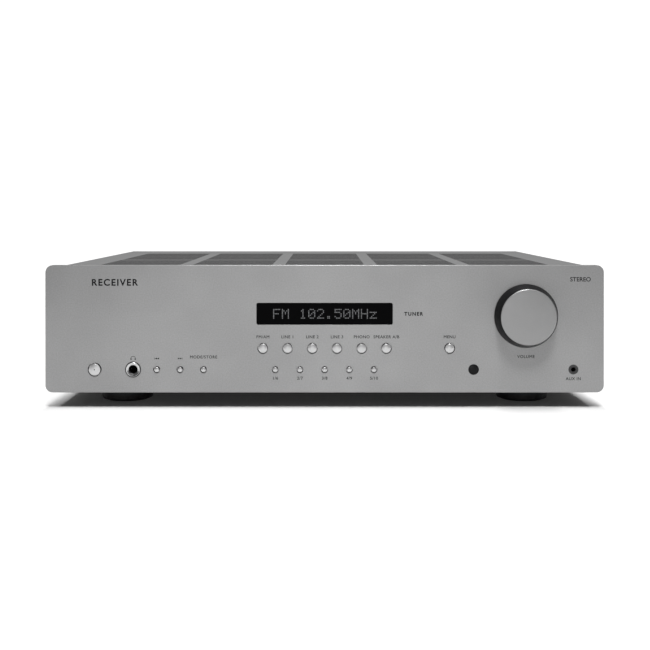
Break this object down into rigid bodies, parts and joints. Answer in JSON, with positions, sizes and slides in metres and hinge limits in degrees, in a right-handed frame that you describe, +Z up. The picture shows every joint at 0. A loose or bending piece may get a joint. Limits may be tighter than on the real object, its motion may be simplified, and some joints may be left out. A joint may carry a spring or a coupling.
{
  "type": "stereo receiver",
  "caption": "Full-width stereo receiver with a thick metal front panel, dot display, round volume knob, push buttons, slotted top cover and rear terminals.",
  "frame": {"origin": "on the surface the unit stands on, under the middle of its bounding box", "axes": "+X to the right seen from the front, +Y to the rear, +Z up; the front panel faces -Y"},
  "size_m": [0.43, 0.34, 0.11],
  "materials": {
    "anodised_panel": "bead-blasted, satin anodised",
    "knob_aluminium": "turned, satin anodised",
    "case_steel": "fine textured grey paint",
    "plated_steel": "zinc plated",
    "rear_steel": "matt dark paint",
    "silver_button": "silver plated, satin",
    "black_gloss": "gloss black, see-through to infrared",
    "display_glass": "vacuum display glass",
    "circuit_board": "green solder resist",
    "black_plastic": "moulded black",
    "chrome": "polished",
    "rubber": "soft pad",
    "winding": "copper winding under clear tape",
    "sink_aluminium": "black anodised extrusion",
    "plated_brass": "gold plated",
    "red_plastic": "moulded red",
    "black_steel": "black oxide"
  },
  "bodies": {
    "chassis": {"front_panel": "anodised_panel", "front_subchassis": "plated_steel", "display_window": "black_gloss", "display_module": "display_glass", "key_board": "circuit_board", "key_switches": "black_plastic", "ir_window": "black_gloss", "headphone_socket": "black_plastic", "headphone_nut": "chrome", "aux_socket": "black_plastic", "volume_encoder": "plated_steel", "base_tray": "rear_steel", "rear_panel": "rear_steel", "top_cover": "case_steel", "feet": "black_plastic", "foot_pads": "rubber", "case_screws": "black_steel", "toroidal_transformer": "winding", "transformer_clamp": "plated_steel", "mains_inlet": "black_plastic", "heatsink": "sink_aluminium", "power_transistors": "black_plastic", "amplifier_board": "circuit_board", "board_components": "black_plastic", "input_board": "circuit_board", "phono_sockets": "plated_brass", "digital_sockets": "black_plastic", "tuner_module": "plated_steel", "aerial_block": "black_plastic", "terminal_posts": "plated_brass"},
    "volume_knob": {"volume_knob": "knob_aluminium", "encoder_shaft": "plated_steel"},
    "mains_rocker": {"mains_rocker": "black_plastic"},
    "ground_thumb_nut": {"ground_thumb_nut": "plated_brass"},
    "standby_button": {"standby_button": "silver_button"},
    "menu_button": {"menu_button": "silver_button"},
    "tuner_button": {"tuner_button": "silver_button"},
    "input_1_button": {"input_1_button": "silver_button"},
    "input_2_button": {"input_2_button": "silver_button"},
    "input_3_button": {"input_3_button": "silver_button"},
    "phono_button": {"phono_button": "silver_button"},
    "speaker_select_button": {"speaker_select_button": "silver_button"},
    "skip_back_button": {"skip_back_button": "silver_button"},
    "skip_forward_button": {"skip_forward_button": "silver_button"},
    "mode_store_button": {"mode_store_button": "silver_button"},
    "preset_1_button": {"preset_1_button": "silver_button"},
    "preset_2_button": {"preset_2_button": "silver_button"},
    "preset_3_button": {"preset_3_button": "silver_button"},
    "preset_4_button": {"preset_4_button": "silver_button"},
    "preset_5_button": {"preset_5_button": "silver_button"},
    "speaker_a_left_plus_cap": {"speaker_a_left_plus_cap": "red_plastic"},
    "speaker_a_left_minus_cap": {"speaker_a_left_minus_cap": "black_plastic"},
    "speaker_a_right_plus_cap": {"speaker_a_right_plus_cap": "red_plastic"},
    "speaker_a_right_minus_cap": {"speaker_a_right_minus_cap": "black_plastic"},
    "speaker_b_left_plus_cap": {"speaker_b_left_plus_cap": "red_plastic"},
    "speaker_b_left_minus_cap": {"speaker_b_left_minus_cap": "black_plastic"},
    "speaker_b_right_plus_cap": {"speaker_b_right_plus_cap": "red_plastic"},
    "speaker_b_right_minus_cap": {"speaker_b_right_minus_cap": "black_plastic"},
    "am_aerial_lever": {"am_aerial_lever": "red_plastic"},
    "am_ground_lever": {"am_ground_lever": "black_plastic"}
  },
  "joints": [
    {"name": "standby_button_press", "type": "slide", "parent": "chassis", "child": "standby_button", "axis": [0, 1, 0], "range_m": [0, 0.0008], "stiffness_N_per_m": 800, "springref_m": -0.001},
    {"name": "menu_button_press", "type": "slide", "parent": "chassis", "child": "menu_button", "axis": [0, 1, 0], "range_m": [0, 0.0008], "stiffness_N_per_m": 800, "springref_m": -0.001},
    {"name": "tuner_button_press", "type": "slide", "parent": "chassis", "child": "tuner_button", "axis": [0, 1, 0], "range_m": [0, 0.0008], "stiffness_N_per_m": 800, "springref_m": -0.001},
    {"name": "input_1_button_press", "type": "slide", "parent": "chassis", "child": "input_1_button", "axis": [0, 1, 0], "range_m": [0, 0.0008], "stiffness_N_per_m": 800, "springref_m": -0.001},
    {"name": "input_2_button_press", "type": "slide", "parent": "chassis", "child": "input_2_button", "axis": [0, 1, 0], "range_m": [0, 0.0008], "stiffness_N_per_m": 800, "springref_m": -0.001},
    {"name": "input_3_button_press", "type": "slide", "parent": "chassis", "child": "input_3_button", "axis": [0, 1, 0], "range_m": [0, 0.0008], "stiffness_N_per_m": 800, "springref_m": -0.001},
    {"name": "phono_button_press", "type": "slide", "parent": "chassis", "child": "phono_button", "axis": [0, 1, 0], "range_m": [0, 0.0008], "stiffness_N_per_m": 800, "springref_m": -0.001},
    {"name": "speaker_select_button_press", "type": "slide", "parent": "chassis", "child": "speaker_select_button", "axis": [0, 1, 0], "range_m": [0, 0.0008], "stiffness_N_per_m": 800, "springref_m": -0.001},
    {"name": "skip_back_button_press", "type": "slide", "parent": "chassis", "child": "skip_back_button", "axis": [0, 1, 0], "range_m": [0, 0.0008], "stiffness_N_per_m": 800, "springref_m": -0.001},
    {"name": "skip_forward_button_press", "type": "slide", "parent": "chassis", "child": "skip_forward_button", "axis": [0, 1, 0], "range_m": [0, 0.0008], "stiffness_N_per_m": 800, "springref_m": -0.001},
    {"name": "mode_store_button_press", "type": "slide", "parent": "chassis", "child": "mode_store_button", "axis": [0, 1, 0], "range_m": [0, 0.0008], "stiffness_N_per_m": 800, "springref_m": -0.001},
    {"name": "preset_1_button_press", "type": "slide", "parent": "chassis", "child": "preset_1_button", "axis": [0, 1, 0], "range_m": [0, 0.0008], "stiffness_N_per_m": 800, "springref_m": -0.001},
    {"name": "preset_2_button_press", "type": "slide", "parent": "chassis", "child": "preset_2_button", "axis": [0, 1, 0], "range_m": [0, 0.0008], "stiffness_N_per_m": 800, "springref_m": -0.001},
    {"name": "preset_3_button_press", "type": "slide", "parent": "chassis", "child": "preset_3_button", "axis": [0, 1, 0], "range_m": [0, 0.0008], "stiffness_N_per_m": 800, "springref_m": -0.001},
    {"name": "preset_4_button_press", "type": "slide", "parent": "chassis", "child": "preset_4_button", "axis": [0, 1, 0], "range_m": [0, 0.0008], "stiffness_N_per_m": 800, "springref_m": -0.001},
    {"name": "preset_5_button_press", "type": "slide", "parent": "chassis", "child": "preset_5_button", "axis": [0, 1, 0], "range_m": [0, 0.0008], "stiffness_N_per_m": 800, "springref_m": -0.001},
    {"name": "volume_turn", "type": "hinge", "parent": "chassis", "child": "volume_knob", "pos_m": [0.155, -0.157, 0.071], "axis": [0, 1, 0], "continuous": true},
    {"name": "mains_rocker_tilt", "type": "hinge", "parent": "chassis", "child": "mains_rocker", "pos_m": [-0.1325, 0.1445, 0.046], "axis": [-1, 0, 0], "range_deg": [0, 18]},
    {"name": "speaker_a_left_plus_cap_unscrew", "type": "hinge", "parent": "chassis", "child": "speaker_a_left_plus_cap", "pos_m": [-0.0955, 0.157, 0.069], "axis": [0, 1, 0], "range_deg": [0, 1440]},
    {"name": "speaker_a_left_minus_cap_unscrew", "type": "hinge", "parent": "chassis", "child": "speaker_a_left_minus_cap", "pos_m": [-0.0765, 0.157, 0.069], "axis": [0, 1, 0], "range_deg": [0, 1440]},
    {"name": "speaker_a_right_plus_cap_unscrew", "type": "hinge", "parent": "chassis", "child": "speaker_a_right_plus_cap", "pos_m": [-0.0575, 0.157, 0.069], "axis": [0, 1, 0], "range_deg": [0, 1440]},
    {"name": "speaker_a_right_minus_cap_unscrew", "type": "hinge", "parent": "chassis", "child": "speaker_a_right_minus_cap", "pos_m": [-0.0385, 0.157, 0.069], "axis": [0, 1, 0], "range_deg": [0, 1440]},
    {"name": "speaker_b_left_plus_cap_unscrew", "type": "hinge", "parent": "chassis", "child": "speaker_b_left_plus_cap", "pos_m": [-0.0955, 0.157, 0.039], "axis": [0, 1, 0], "range_deg": [0, 1440]},
    {"name": "speaker_b_left_minus_cap_unscrew", "type": "hinge", "parent": "chassis", "child": "speaker_b_left_minus_cap", "pos_m": [-0.0765, 0.157, 0.039], "axis": [0, 1, 0], "range_deg": [0, 1440]},
    {"name": "speaker_b_right_plus_cap_unscrew", "type": "hinge", "parent": "chassis", "child": "speaker_b_right_plus_cap", "pos_m": [-0.0575, 0.157, 0.039], "axis": [0, 1, 0], "range_deg": [0, 1440]},
    {"name": "speaker_b_right_minus_cap_unscrew", "type": "hinge", "parent": "chassis", "child": "speaker_b_right_minus_cap", "pos_m": [-0.0385, 0.157, 0.039], "axis": [0, 1, 0], "range_deg": [0, 1440]},
    {"name": "ground_nut_unscrew", "type": "hinge", "parent": "chassis", "child": "ground_thumb_nut", "pos_m": [-0.0065, 0.152, 0.083], "axis": [0, 1, 0], "range_deg": [0, 1440]},
    {"name": "am_aerial_lever_press", "type": "hinge", "parent": "chassis", "child": "am_aerial_lever", "pos_m": [0.159, 0.15, 0.085], "axis": [-1, 0, 0], "range_deg": [0, 20], "stiffness_Nm_per_rad": 0.05, "springref_deg": -17.19},
    {"name": "am_ground_lever_press", "type": "hinge", "parent": "chassis", "child": "am_ground_lever", "pos_m": [0.172, 0.15, 0.085], "axis": [-1, 0, 0], "range_deg": [0, 20], "stiffness_Nm_per_rad": 0.05, "springref_deg": -17.19}
  ]
}
